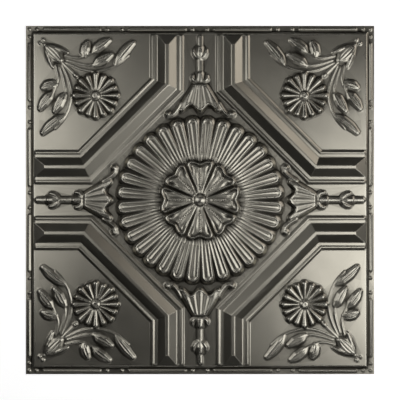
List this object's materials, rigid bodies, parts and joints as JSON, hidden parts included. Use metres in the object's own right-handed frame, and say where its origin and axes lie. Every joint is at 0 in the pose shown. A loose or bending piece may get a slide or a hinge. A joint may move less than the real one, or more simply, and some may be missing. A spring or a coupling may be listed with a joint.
{
  "type": "ceiling tile",
  "caption": "Square pressed tin ceiling tile of thin sheet: fluted medallion with a rosette, ridge-framed corner panels with daisies, side pendants and a beaded nail rail",
  "frame": {"origin": "centre of the underside of the flat nail rail, in the plane the tile lies on", "axes": "+Z out of the decorated face, +X and +Y along the square's sides, each towards a side pendant"},
  "size_m": [0.6224, 0.6224, 0.0194],
  "materials": {
    "tin_plate": "satin"
  },
  "bodies": {
    "root": {"ceiling_tile": "tin_plate"}
  },
  "joints": []
}
